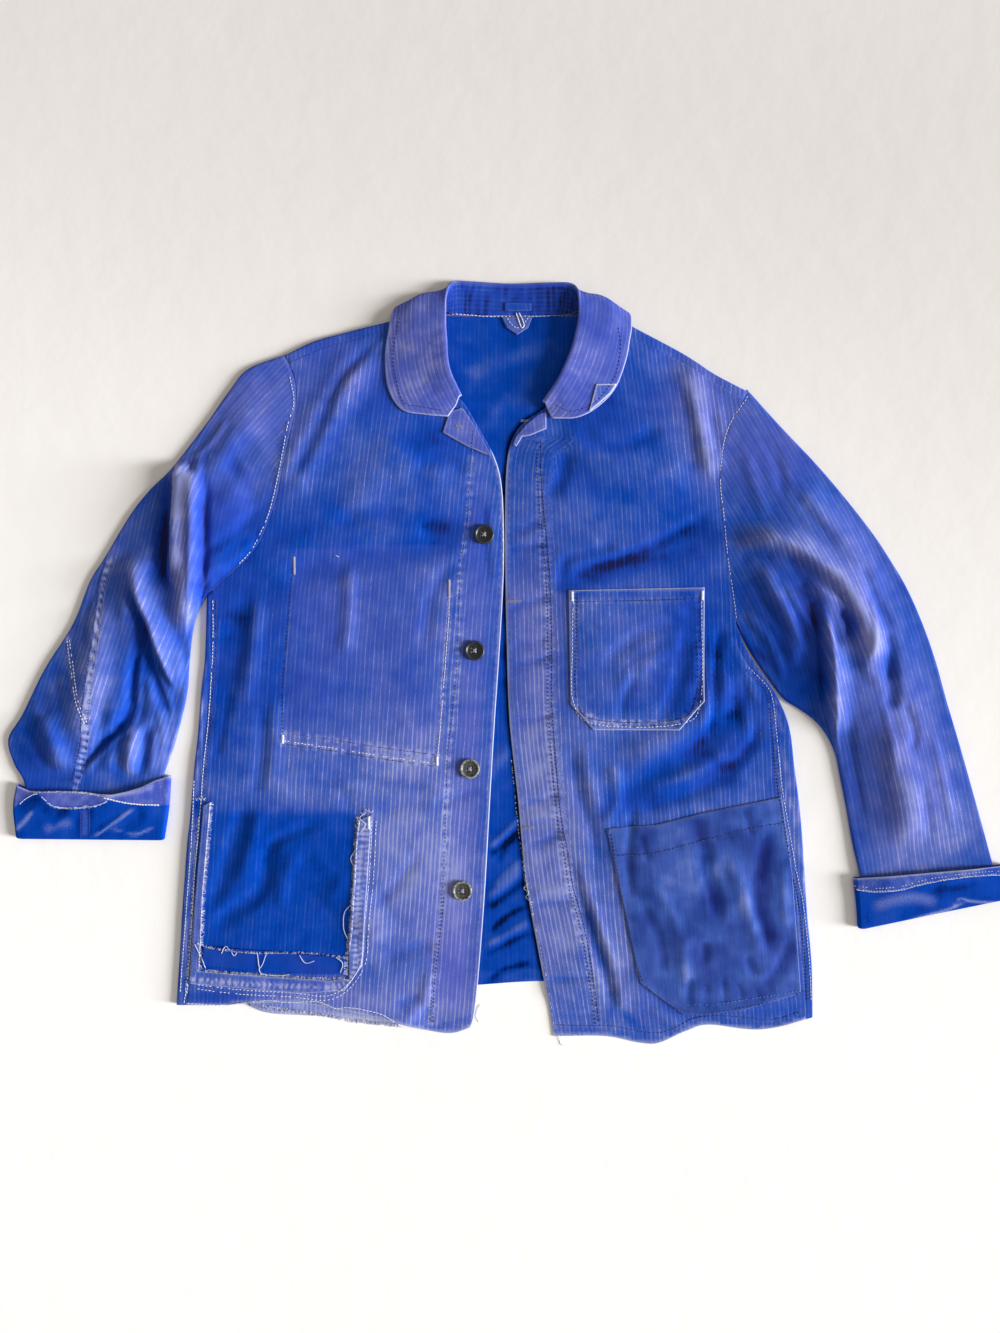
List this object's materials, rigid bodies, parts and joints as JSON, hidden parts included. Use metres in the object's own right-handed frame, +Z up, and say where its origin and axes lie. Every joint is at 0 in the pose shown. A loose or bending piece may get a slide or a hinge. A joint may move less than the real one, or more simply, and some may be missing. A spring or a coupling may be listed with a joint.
{
  "type": "patched work jacket",
  "caption": "Faded cotton work jacket laid flat and unbuttoned, with patch pockets, a torn-off pocket's remnant, turned-back cuffs and a laid-down collar.",
  "frame": {"origin": "underside of the back at the middle of the chest, on the surface the jacket lies on", "axes": "+X towards the left-hand sleeve of the wearer (the viewer's right), +Y towards the neck, +Z up from the surface"},
  "size_m": [1.0535, 0.8028, 0.026],
  "materials": {
    "work_cloth": "matte",
    "inner_cloth": "matte",
    "pocket_twill": "matte",
    "button_plastic": "satin"
  },
  "bodies": {
    "root": {"back_panel": "work_cloth", "front_left": "work_cloth", "front_right": "work_cloth", "sleeve_left": "work_cloth", "sleeve_right": "work_cloth", "cuff_left": "inner_cloth", "cuff_right": "inner_cloth", "collar": "work_cloth", "corner_left": "work_cloth", "corner_right": "work_cloth", "chest_pocket": "work_cloth", "lower_pocket": "pocket_twill", "pocket_remnant": "work_cloth", "pocket_base": "inner_cloth", "hanger_tab": "work_cloth", "hem_turning": "work_cloth", "button_1": "button_plastic", "button_2": "button_plastic", "button_3": "button_plastic", "button_4": "button_plastic"}
  },
  "joints": []
}
